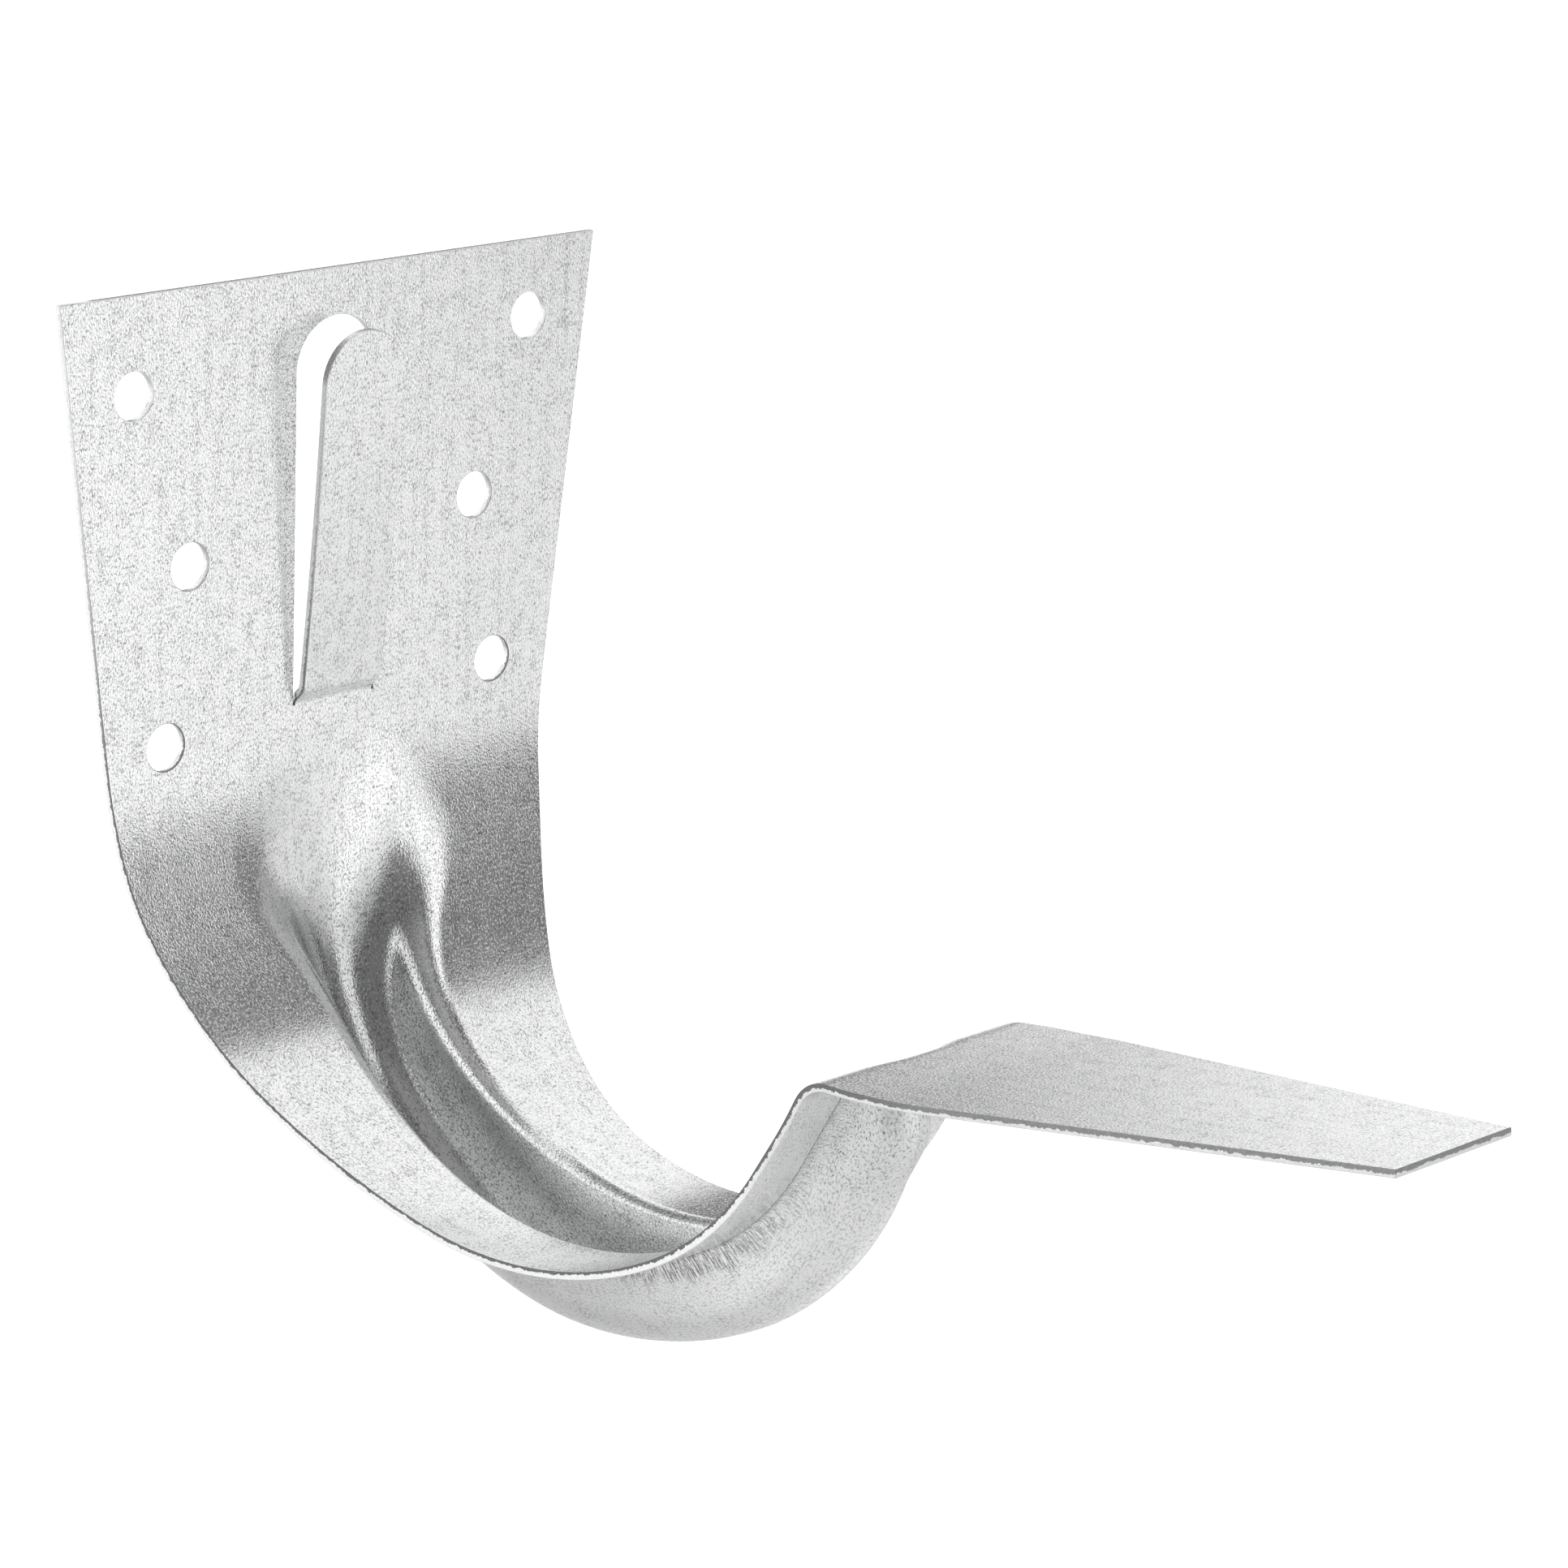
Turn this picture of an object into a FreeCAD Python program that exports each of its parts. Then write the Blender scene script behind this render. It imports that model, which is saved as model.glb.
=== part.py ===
import FreeCAD, Part
import math
import os

# A gutter bracket pressed from one piece of sheet: a flat screw plate with a tongue,
# a half-round hook stiffened by a deep bead, and a tapered strap that folds over the gutter.
# X runs along the gutter, the wall is the plane Y = 0 and the gutter lies towards -Y.

# Sheet
sheet = 1.0

# Screw plate, heights measured down from its top edge
origin_below_top = 3.0
plate_top_width = 87.5
plate_side_taper = 0.126
hook_start = 57.0

# Screw holes in three rows, the left column lower than the right one
hole_diameter = 6.0
hole_drop_top_row = 11.0
hole_row_pitch = 22.2
hole_stagger = 2.4
hole_half_spacing_top = 32.45
hole_half_spacing_middle = 23.6
hole_half_spacing_bottom = 27.3

# Slot and the tongue that is bent forward out of it
slot_width = 13.3
slot_top = 6.0
slot_bottom = 54.7
tongue_width = 12.9
tongue_step_angle = 45.0
tongue_step_radius = 1.3
tongue_step_straight = 1.4
tongue_lean = 6.8
tongue_curl = 3.6
tongue_length = 45.2

# Hook, as arcs of the face that touches the gutter, from the wall round to the arm
wall_arc_radius = 59.7
wall_arc_turn = 35.4
corner_arc_radius = 33.4
corner_arc_turn = 13.4
floor_arc_radius = 52.2
floor_arc_turn = 68.7
front_arc_radius = 38.2
front_arc_turn = 32.8
arm_straight = 12.0
arm_bend_radius = 7.3

# Strap, which rises a little on its way out
strap_rise = 5.0
strap_root = 5.7
strap_lift_radius = 235.0
strap_lift = 2.1
strap_straight = 60.2

# Half widths of the hook and the strap
hook_half_width = 24.9
hook_side_taper = 0.068
waist_from = 12.9
waist_to = 71.3
shoulder_from = 134.0
shoulder_to = 154.0
strap_half_width = 17.5
strap_taper_from = 161.5
strap_side_taper = 0.122

# Bead: its floor follows the plate, then an arc set back and down from the hook's
bead_half_width = 10.2
bead_side_taper = 0.0125
bead_wall_slope = 73.0
bead_floor_share = 0.78
bead_depth = 7.05
bead_set_back = 2.7
bead_set_down = 5.7
early_depth_share = 0.72
early_floor_share = 0.6
bead_grows_from = 35.0
bead_grows_to = 85.0
nose_centre = 17.0
nose_length = 12.5
nose_widening = 8.8
nose_floor_share = 0.5
bend_floor_share = 0.45
bead_softens_from = 116.0
fade_before_bend = 6.5
fade_after_bend = 0.0

# Rows and columns of the surface net
rows_per_segment = (2, 14, 4, 20, 9, 6, 8, 4, 4, 12)
floor_columns = 8
crest_columns = 6
flange_fractions = (0.12, 0.4, 0.7, 1.0)
flat_lead = 2.0


def heights(below_top):
    return origin_below_top - below_top


def plate_half_width(below_top):
    return plate_top_width / 2 - plate_side_taper * below_top


def smooth(t):
    t = min(1.0, max(0.0, t))
    return t * t * (3 - 2 * t)


def arc(radius, turn):
    """Length and turn in radians of one arc of the side profile."""
    return radius * math.radians(abs(turn)), math.radians(turn)


def hook_segments():
    arcs = [arc(wall_arc_radius, wall_arc_turn), arc(corner_arc_radius, corner_arc_turn)]
    arcs += [arc(floor_arc_radius, floor_arc_turn), arc(front_arc_radius, front_arc_turn)]
    return arcs + [(arm_straight, 0.0)]


def arm_heading():
    """How far the profile has turned from straight down where the arm bends over."""
    return sum(turn for _, turn in hook_segments())


def arm_bend():
    return arc(arm_bend_radius, 90.0 + strap_rise - math.degrees(arm_heading()))


def profile_segments():
    """Length and turn in radians of each stretch of the side profile."""
    strap = [(strap_root, 0.0), arc(strap_lift_radius, strap_lift), (strap_straight, 0.0)]
    return [(flat_lead, 0.0)] + hook_segments() + [arm_bend()] + strap


def bend_start():
    return sum(length for length, _ in hook_segments())


def step(y, z, heading, length, turn):
    """The end of one arc or line that starts at y, z with the given heading."""
    middle = heading + turn / 2
    chord = length if abs(turn) < 1e-9 else length * math.sin(turn / 2) / (turn / 2)
    return y - chord * math.sin(middle), z - chord * math.cos(middle), heading + turn


def profile_rows():
    """Distance from the hook's start, y, z and heading of every row of the net."""
    y, z, heading = -sheet, heights(hook_start) + flat_lead, 0.0
    s = -flat_lead
    rows = [(s, y, z, heading)]
    for (length, turn), count in zip(profile_segments(), rows_per_segment):
        for _ in range(count):
            y, z, heading = step(y, z, heading, length / count, turn / count)
            s += length / count
            rows.append((s, y, z, heading))
    return rows


def half_width(s):
    """Half width of the sheet at a distance below the hook's start."""
    plate = plate_half_width(hook_start + s)
    hook = hook_half_width - hook_side_taper * s
    strap = strap_half_width - strap_side_taper * max(0.0, s - strap_taper_from)
    upper = plate + (hook - plate) * smooth((s - waist_from) / (waist_to - waist_from))
    return upper + (strap - upper) * smooth((s - shoulder_from) / (shoulder_to - shoulder_from))


def bead_growth(s):
    """How far the bead has grown from its early section to its full one."""
    return smooth((s - bead_grows_from) / (bead_grows_to - bead_grows_from))


def bead_floor_part(s, nose):
    """Share of the bead's rounding that belongs to its floor."""
    share = early_floor_share + (bead_floor_share - early_floor_share) * bead_growth(s)
    share += (nose_floor_share - share) * nose
    softened = smooth((s - bead_softens_from) / (bend_start() - bead_softens_from))
    return share + (bend_floor_share - share) * softened


def bead_drop(s, y, heading):
    """Depth of the bead's floor below the flanges."""
    back = -(y + sheet)
    if back < 1e-9:
        return 0.0
    to_plate = max(math.cos(heading), 0.0) / back
    deep = bead_depth + bead_set_back * math.cos(heading) + bead_set_down * math.sin(heading)
    deep *= early_depth_share + (1 - early_depth_share) * bead_growth(s)
    depth = (to_plate ** 4 + deep ** -4) ** -0.25
    start = bend_start() - fade_before_bend
    end = bend_start() + arm_bend()[0] + fade_after_bend
    return depth * (1 - smooth((s - start) / (end - start)))


def bead_section(s, drop):
    """Points (x, depth) from the bead's middle out to the flange's edge."""
    nose = math.exp(-((s - nose_centre) / nose_length) ** 2)
    half = bead_half_width - bead_side_taper * s + nose_widening * nose
    share = bead_floor_part(s, nose)
    edge = half_width(s)
    if drop < 1e-6:
        inner = [half * share * i / floor_columns for i in range(floor_columns)]
        outer = [half * (share + (1 - share) * i / crest_columns) for i in range(crest_columns + 1)]
        outer += [half + (edge - half) * f for f in flange_fractions]
        return [(x, 0.0) for x in inner + outer]
    angle = min(2 * math.atan(drop / half), math.radians(bead_wall_slope))
    sine = math.sin(angle)
    cosine = math.cos(angle)
    total = (half * sine - drop * cosine) / (1 - cosine)
    floor_radius = total * share
    crest_radius = total * (1 - share)
    wall = max(0.0, drop * sine / (1 - cosine) - half)
    reach = floor_radius * angle + wall
    points = []
    for i in range(floor_columns):
        along = reach * i / floor_columns
        a = min(along / floor_radius, angle)
        straight = max(0.0, along - floor_radius * angle)
        x = floor_radius * math.sin(a) + straight * cosine
        points.append((x, drop - floor_radius * (1 - math.cos(a)) - straight * sine))
    for i in range(crest_columns + 1):
        a = angle * (1 - i / crest_columns)
        points.append((half - crest_radius * math.sin(a), crest_radius * (1 - math.cos(a))))
    return points + [(half + (edge - half) * f, 0.0) for f in flange_fractions]


def inner_net():
    """Rows of points on the face that touches the gutter."""
    net = []
    for s, y, z, heading in profile_rows():
        down = arm_heading() if s > bend_start() else heading
        side = bead_section(s, bead_drop(s, y, heading))
        row = [FreeCAD.Vector(x, y + d * math.cos(down), z - d * math.sin(down)) for x, d in side]
        mirrored = [FreeCAD.Vector(-p.x, p.y, p.z) for p in reversed(row[1:])]
        net.append(mirrored + row)
    return net


def outer_net(net):
    """The same net moved one sheet thickness away from the gutter."""
    last_row, last_column = len(net) - 1, len(net[0]) - 1
    moved = []
    for i, row in enumerate(net):
        above, below = net[max(i - 1, 0)], net[min(i + 1, last_row)]
        line = []
        for j, point in enumerate(row):
            along = below[j] - above[j]
            across = row[min(j + 1, last_column)] - row[max(j - 1, 0)]
            normal = across.cross(along)
            normal.normalize()
            line.append(point + normal * sheet)
        moved.append(line)
    return moved


def net_surface(net):
    """Clamped cubic surface steered by the net's points."""
    def knots(count):
        return [4] + [1] * (count - 4) + [4], [float(i) for i in range(count - 2)]
    u_mults, u_knots = knots(len(net))
    v_mults, v_knots = knots(len(net[0]))
    surface = Part.BSplineSurface()
    surface.buildFromPolesMultsKnots(net, u_mults, v_mults, u_knots, v_knots, False, False, 3, 3)
    return surface


def sheet_solid(inner, outer):
    """Closes two surfaces with ruled faces along their four borders."""
    surfaces = [net_surface(inner), net_surface(outer)]
    faces = [surface.toShape() for surface in surfaces]
    u0, u1, v0, v1 = surfaces[0].bounds()
    for iso, value in (("uIso", u0), ("uIso", u1), ("vIso", v0), ("vIso", v1)):
        border = [getattr(surface, iso)(value).toShape() for surface in surfaces]
        faces.append(Part.makeRuledSurface(border[0], border[1]))
    shell = Part.Shell(faces)
    shell.sewShape()
    solid = Part.Solid(shell)
    if solid.Volume < 0:
        solid.reverse()
    return solid


def hook_and_strap():
    inner = inner_net()
    return sheet_solid(inner, outer_net(inner))


def plate():
    bottom = hook_start - flat_lead
    top_half, low_half = plate_half_width(0.0), plate_half_width(bottom)
    corners = [(-top_half, heights(0.0)), (top_half, heights(0.0))]
    corners += [(low_half, heights(bottom)), (-low_half, heights(bottom))]
    points = [FreeCAD.Vector(x, -sheet, z) for x, z in corners]
    face = Part.Face(Part.makePolygon(points + points[:1]))
    return face.extrude(FreeCAD.Vector(0, sheet, 0))


def hole_centres():
    centres = []
    half_spacings = (hole_half_spacing_top, hole_half_spacing_middle, hole_half_spacing_bottom)
    for row, half_spacing in enumerate(half_spacings):
        drop = hole_drop_top_row + row * hole_row_pitch
        centres.append((-half_spacing, heights(drop + hole_stagger / 2)))
        centres.append((half_spacing, heights(drop - hole_stagger / 2)))
    return centres


def hole_cutter(x, z):
    start = FreeCAD.Vector(x, 5 * sheet, z)
    return Part.makeCylinder(hole_diameter / 2, 10 * sheet, start, FreeCAD.Vector(0, -1, 0))


def round_topped(width, top, bottom, front, back):
    """A block with a half-round top, seen from the front."""
    radius = width / 2
    low_left = FreeCAD.Vector(-radius, back, bottom)
    low_right = FreeCAD.Vector(radius, back, bottom)
    left = FreeCAD.Vector(-radius, back, top - radius)
    right = FreeCAD.Vector(radius, back, top - radius)
    cap = Part.Arc(left, FreeCAD.Vector(0, back, top), right).toShape()
    edges = [Part.makeLine(low_right, low_left), Part.makeLine(low_left, left), cap]
    edges.append(Part.makeLine(right, low_right))
    return Part.Face(Part.Wire(edges)).extrude(FreeCAD.Vector(0, front - back, 0))


def tongue_path():
    """Ends and middles of the tongue's bends along the middle of the sheet."""
    step_turn = math.radians(tongue_step_angle)
    lean, curl = math.radians(tongue_lean), math.radians(tongue_curl)
    stretches = [(tongue_step_radius * step_turn, -step_turn)]
    stretches.append((tongue_step_straight, 0.0))
    stretches.append((tongue_step_radius * (step_turn - lean), step_turn - lean))
    stretches.append((tongue_length, curl))
    return stretches


def tongue_side(offset):
    """Edges of one face of the tongue, offset forward from the sheet's middle."""
    y, z, heading = -sheet / 2, heights(slot_bottom), math.pi
    edges, points = [], []

    def spot(at):
        # forward of an upward run is to its left, seen with -Y on the left
        return FreeCAD.Vector(0, at[0] + offset * math.cos(at[2]), at[1] - offset * math.sin(at[2]))

    here = (y, z, heading)
    for length, turn in tongue_path():
        half = step(*here, length / 2, turn / 2)
        there = step(*here, length, turn)
        if abs(turn) < 1e-9:
            edges.append(Part.makeLine(spot(here), spot(there)))
        else:
            edges.append(Part.Arc(spot(here), spot(half), spot(there)).toShape())
        points.append(spot(there))
        here = there
    return edges, spot((y, z, heading)), points[-1]


def tongue():
    front, front_start, front_end = tongue_side(sheet / 2)
    back, back_start, back_end = tongue_side(-sheet / 2)
    edges = front + [Part.makeLine(front_end, back_end)] + back[::-1]
    edges.append(Part.makeLine(back_start, front_start))
    face = Part.Face(Part.Wire(Part.__sortEdges__(edges)))
    face.translate(FreeCAD.Vector(-tongue_width / 2, 0, 0))
    strip = face.extrude(FreeCAD.Vector(tongue_width, 0, 0))
    top = max(front_end.z, back_end.z)
    outline = round_topped(tongue_width, top, heights(slot_bottom), -30 * sheet, 5 * sheet)
    return strip.common(outline)


def bracket():
    blank = plate().fuse(hook_and_strap())
    slot = round_topped(slot_width, heights(slot_top), heights(slot_bottom), -5 * sheet, 5 * sheet)
    cutters = [hole_cutter(x, z) for x, z in hole_centres()] + [slot]
    pressed = blank.cut(Part.makeCompound(cutters)).fuse(tongue())
    solids = pressed.Solids
    if len(solids) != 1 or not solids[0].isValid():
        raise RuntimeError("the bracket is not one valid solid")
    return solids[0]


os.makedirs("parts", exist_ok=True)
bracket().exportStep("parts/gutter_bracket.step")
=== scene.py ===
import math

import bmesh
import bpy
import numpy as np
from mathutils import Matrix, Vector
from mathutils.geometry import delaunay_2d_cdt


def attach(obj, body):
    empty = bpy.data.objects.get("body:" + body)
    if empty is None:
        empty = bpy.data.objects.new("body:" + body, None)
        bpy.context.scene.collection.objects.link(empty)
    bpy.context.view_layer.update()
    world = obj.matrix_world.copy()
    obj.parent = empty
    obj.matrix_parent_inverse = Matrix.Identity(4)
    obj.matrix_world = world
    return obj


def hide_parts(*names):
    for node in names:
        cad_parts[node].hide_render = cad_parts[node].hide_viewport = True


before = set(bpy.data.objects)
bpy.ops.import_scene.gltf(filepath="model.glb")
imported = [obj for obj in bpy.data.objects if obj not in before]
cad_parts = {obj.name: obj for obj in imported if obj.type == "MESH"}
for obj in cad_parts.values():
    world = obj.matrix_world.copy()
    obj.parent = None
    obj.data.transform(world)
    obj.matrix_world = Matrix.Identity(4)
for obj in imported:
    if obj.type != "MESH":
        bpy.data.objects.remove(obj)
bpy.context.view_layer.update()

# Sheet and screw plate in millimetres, as in the part's own source. Heights run down from the plate's top.
sheet = 1.0
origin_below_top = 3.0
plate_top_width = 87.5
plate_side_taper = 0.126
hook_start = 57.0

# Screw holes
hole_radius = 3.0
hole_drop_top_row = 11.0
hole_row_pitch = 22.2
hole_stagger = 2.4
hole_half_spacings = (32.45, 23.6, 27.3)

# Slot and tongue
slot_half_width = 6.65
slot_top = 6.0
slot_bottom = 54.7
tongue_half_width = 6.45
tongue_step_angle = 45.0
tongue_step_radius = 1.3
tongue_step_straight = 1.4
tongue_lean = 6.8
tongue_curl = 3.6
tongue_length = 45.2

# Hook, as arcs (radius, turn in degrees) from the wall round to the arm
hook_arcs = ((59.7, 35.4), (33.4, 13.4), (52.2, 68.7), (38.2, 32.8))
arm_straight = 12.0
arm_bend_radius = 7.3

# Strap
strap_rise = 5.0
strap_root = 5.7
strap_lift_radius = 235.0
strap_lift = 2.1
strap_straight = 60.2

# Half widths of the hook and the strap, by the distance along the hook
hook_half_width = 24.9
hook_side_taper = 0.068
waist_from = 12.9
waist_to = 71.3
shoulder_from = 134.0
shoulder_to = 154.0
strap_half_width = 17.5
strap_taper_from = 161.5
strap_side_taper = 0.122

# Bead
bead_half_width = 10.2
bead_side_taper = 0.0125
bead_wall_slope = 73.0
bead_floor_share = 0.78
bead_depth = 7.05
bead_set_back = 2.7
bead_set_down = 5.7
early_depth_share = 0.72
early_floor_share = 0.6
bead_grows_from = 35.0
bead_grows_to = 85.0
nose_centre = 17.0
nose_length = 12.5
nose_widening = 8.8
nose_floor_share = 0.5
bend_floor_share = 0.45
bead_softens_from = 116.0
fade_before_bend = 6.5
fade_after_bend = 0.0

# How fine the dressed surface is
rim_radius = 0.12
rim_steps = 3
rim_middle_shares = (0.3, 0.5, 0.7)
row_pitch = 0.9
bend_pitch = 0.45
sharp_turn = 1.0
floor_columns = 14
crest_columns = 10
flange_columns = 9
hole_points = 72
slot_side_points = 12
slot_crown_points = 40
plate_side_points = 12
plate_top_points = 16
curved_rows = 8
curved_columns = 60
curved_margin = 1.0
tongue_bend_rows = 8
tongue_step_rows = 2
tongue_straight_rows = 20
tongue_tip_points = 24
tongue_tip_rows = 12
tongue_columns = 16
join_below_start = 4.0
metres = 0.001

# Tolerances in millimetres
no_drop = 1e-3
weld_distance = 0.003
spots_per_mm = 500
same_spot = 1e-6
same_height = 1e-5
sliver_area = 1e-4
just_inside = 0.999
slope_reach = 0.05
away_from_bead = -50.0


def smooth(t):
    """Smooth step from 0 to 1."""
    t = min(1.0, max(0.0, t))
    return t * t * (3 - 2 * t)


def plate_half_width(v):
    return plate_top_width / 2 - plate_side_taper * v


def arc(radius, turn):
    """(length, turn in radians) of an arc, from its turn in degrees."""
    return radius * math.radians(abs(turn)), math.radians(turn)


hook_segments = [arc(*pair) for pair in hook_arcs] + [(arm_straight, 0.0)]
arm_heading = sum(turn for _, turn in hook_segments)
arm_bend = arc(arm_bend_radius, 90 + strap_rise - math.degrees(arm_heading))
strap_segments = [(strap_root, 0.0), arc(strap_lift_radius, strap_lift), (strap_straight, 0.0)]
join = hook_start + join_below_start
first_arc = (hook_segments[0][0] - join_below_start, hook_segments[0][1])
first_arc = (first_arc[0], first_arc[0] / hook_arcs[0][0])
segments = [first_arc] + hook_segments[1:] + [arm_bend] + strap_segments
bend_start = sum(length for length, _ in hook_segments)


def step(y, z, heading, length, turn):
    """The profile's next place and heading, after a stretch of this length and turn."""
    middle = heading + turn / 2
    chord = length * math.sin(turn / 2) / (turn / 2) if turn else length
    return y - chord * math.sin(middle), z - chord * math.cos(middle), heading + turn


def below_start(s):
    """Height and heading of the profile on its first arc."""
    return step(-sheet, origin_below_top - hook_start, 0.0, s, s / hook_arcs[0][0])


def profile_rows():
    """(distance along the hook, y, z, heading) from the plate's mesh to the strap's end."""
    s = join_below_start
    y, z, heading = below_start(s)
    rows = [(s - row_pitch,) + below_start(s - row_pitch), (s, y, z, heading)]
    for length, turn in segments:
        pitch = bend_pitch if abs(turn) > sharp_turn else row_pitch
        count = math.ceil(length / pitch)
        for _ in range(count):
            y, z, heading = step(y, z, heading, length / count, turn / count)
            s += length / count
            rows.append((s, y, z, heading))
    return rows


def half_width(s):
    plate = plate_half_width(hook_start + s)
    hook = hook_half_width - hook_side_taper * s
    strap = strap_half_width - strap_side_taper * max(0.0, s - strap_taper_from)
    upper = plate + (hook - plate) * smooth((s - waist_from) / (waist_to - waist_from))
    return upper + (strap - upper) * smooth((s - shoulder_from) / (shoulder_to - shoulder_from))


def bead_growth(s):
    """How far the bead has grown from its early section to its full one."""
    return smooth((s - bead_grows_from) / (bead_grows_to - bead_grows_from))


def bead_floor_part(s, nose):
    """Share of the bead's rounding that belongs to its floor."""
    share = early_floor_share + (bead_floor_share - early_floor_share) * bead_growth(s)
    share += (nose_floor_share - share) * nose
    softened = smooth((s - bead_softens_from) / (bend_start - bead_softens_from))
    return share + (bend_floor_share - share) * softened


def bead_drop(s, y, heading):
    """Depth of the bead below the hook's face. Near the wall it stops at the plate's plane."""
    back = -(y + sheet)
    if back <= 0:
        return 0.0
    to_plate = max(math.cos(heading), 0.0) / back
    deep = bead_depth + bead_set_back * math.cos(heading) + bead_set_down * math.sin(heading)
    deep *= early_depth_share + (1 - early_depth_share) * bead_growth(s)
    depth = (to_plate ** 4 + deep ** -4) ** -0.25
    start = bend_start - fade_before_bend
    end = bend_start + arm_bend[0] + fade_after_bend
    return depth * (1 - smooth((s - start) / (end - start)))


def bead_section(s, drop):
    """Points (x, depth, distance from the fold) from the bead's middle to the flange's edge."""
    nose = math.exp(-((s - nose_centre) / nose_length) ** 2)
    half = bead_half_width - bead_side_taper * s + nose_widening * nose
    share = bead_floor_part(s, nose)
    edge = half_width(s) - rim_radius
    flange = [half + (edge - half) * (i + 1) / flange_columns for i in range(flange_columns)]
    flange = [(x, 0.0, half - x) for x in flange]
    if drop < no_drop:
        inner = [half * share * i / floor_columns for i in range(floor_columns)]
        crest = [half * (share + (1 - share) * i / crest_columns) for i in range(crest_columns + 1)]
        return [(x, 0.0, half - x) for x in inner + crest] + flange
    angle = min(2 * math.atan(drop / half), math.radians(bead_wall_slope))
    sine, cosine = math.sin(angle), math.cos(angle)
    total = (half * sine - drop * cosine) / (1 - cosine)
    wall = max(0.0, drop * sine / (1 - cosine) - half)
    floor_radius, crest_radius = total * share, total * (1 - share)
    reach = floor_radius * angle + wall
    points = []
    for i in range(floor_columns):
        along = reach * i / floor_columns
        a = min(along / floor_radius, angle)
        straight = max(0.0, along - floor_radius * angle)
        x = floor_radius * math.sin(a) + straight * cosine
        depth = drop - floor_radius * (1 - math.cos(a)) - straight * sine
        points.append((x, depth, reach - along + crest_radius * angle))
    for i in range(crest_columns + 1):
        a = angle * (1 - i / crest_columns)
        x, depth = half - crest_radius * math.sin(a), crest_radius * (1 - math.cos(a))
        points.append((x, depth, crest_radius * a))
    return points + flange


class Skin:
    """One closed mesh. Points that fall on the same spot are shared.

    Each point keeps its normal, its place on the flat sheet (across, along, depth) and what the
    zinc needs to know of the bead: distance from its fold, its depth there, and 1 on a cut edge.
    """

    def __init__(self):
        self.found = {}
        self.points = []
        self.normals = []
        self.sheet = []
        self.bead = []
        self.faces = []

    def point(self, at, normal, across, along, depth, rim=0.0, fold=away_from_bead, drop=0.0):
        key = tuple(round(c * spots_per_mm) for c in at)
        if key not in self.found:
            self.found[key] = len(self.points)
            self.points.append(at)
            self.normals.append(Vector(normal).normalized())
            self.sheet.append((across, along, depth))
            self.bead.append((fold, drop, rim))
        return self.found[key]

    def face(self, *corners):
        """A face, unless so many of its corners coincide that nothing is left of it."""
        kept = [c for i, c in enumerate(corners) if c != corners[i - 1]]
        if len(set(kept)) > 2:
            self.faces.append(kept)

    def grid(self, rows):
        for upper, lower in zip(rows, rows[1:]):
            for i in range(len(upper) - 1):
                self.face(upper[i], upper[i + 1], lower[i + 1], lower[i])


def rim_profile():
    """(inset, depth, outward share, through share) across a cut edge from the gutter side."""
    near = []
    for i in range(rim_steps + 1):
        a = math.pi / 2 * i / rim_steps
        inset, depth = rim_radius * (1 - math.sin(a)), rim_radius * (1 - math.cos(a))
        near.append((inset, depth, math.sin(a), -math.cos(a)))
    middle = [(0.0, sheet * share, 1.0, 0.0) for share in rim_middle_shares]
    far = [(inset, sheet - depth, out, -through) for inset, depth, out, through in reversed(near)]
    return near + middle + far


rim = rim_profile()


def on_rim(depth):
    """1 on a cut edge and 0 on the sheet's two faces."""
    return 0.0 if depth in (0.0, sheet) else 1.0


def hook_rows():
    """The hook's rows and its true end. The last row stops short of it by the edge's rounding."""
    rows = profile_rows()
    end = rows[-1]
    rows[-1] = (end[0] - rim_radius,) + step(*end[1:], -rim_radius, 0.0)
    return rows, end


def hook_net(rows):
    """The hook's gutter side: points, normals, unrolled widths and (s, drop, folds) of the bead."""
    net, bead = [], []
    for s, y, z, heading in rows:
        drop = bead_drop(s, y, heading)
        down = arm_heading if s > bend_start else heading
        side = bead_section(s, drop)
        right = [(x, y + depth * math.cos(down), z - depth * math.sin(down)) for x, depth, _ in side]
        net.append([(-x, back, up) for x, back, up in reversed(right[1:])] + right)
        folds = [fold for _, _, fold in side]
        bead.append((s, drop, folds[:0:-1] + folds))
    net = np.array(net)
    normals = np.cross(np.gradient(net, axis=1), np.gradient(net, axis=0))
    normals /= np.linalg.norm(normals, axis=2)[..., None]
    net, normals, bead = net[1:], normals[1:], bead[1:]
    widths = np.linalg.norm(np.diff(net, axis=1), axis=2)
    across = np.concatenate([np.zeros((len(net), 1)), np.cumsum(widths, axis=1)], axis=1)
    across -= across[:, [net.shape[1] // 2]]
    return net, normals, across, bead


def hook_skin(skin):
    """Hook and strap. Returns the first row of each face, where the plate joins on."""
    rows, end = hook_rows()
    net, normals, across, bead = hook_net(rows)
    rows = rows[1:]
    inner, outer = [], []
    for i, (s, drop, folds) in enumerate(bead):
        top, low = [], []
        for p, n, u, fold in zip(net[i], normals[i], across[i], folds):
            top.append(skin.point(tuple(p), -n, u, hook_start + s, 0.0, 0.0, fold, drop))
            low.append(skin.point(tuple(p + n * sheet), n, u, hook_start + s, 1.0, 0.0, fold, drop))
        inner.append(top)
        outer.append(low)
    skin.grid(inner)
    skin.grid([row[::-1] for row in outer])
    for side in (-1, 1):
        side_strips(skin, side, rows, inner, outer, across)
    end_strips(skin, end, rows[-1], inner[-1], outer[-1], across[-1])
    return inner[0], outer[0]


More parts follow.
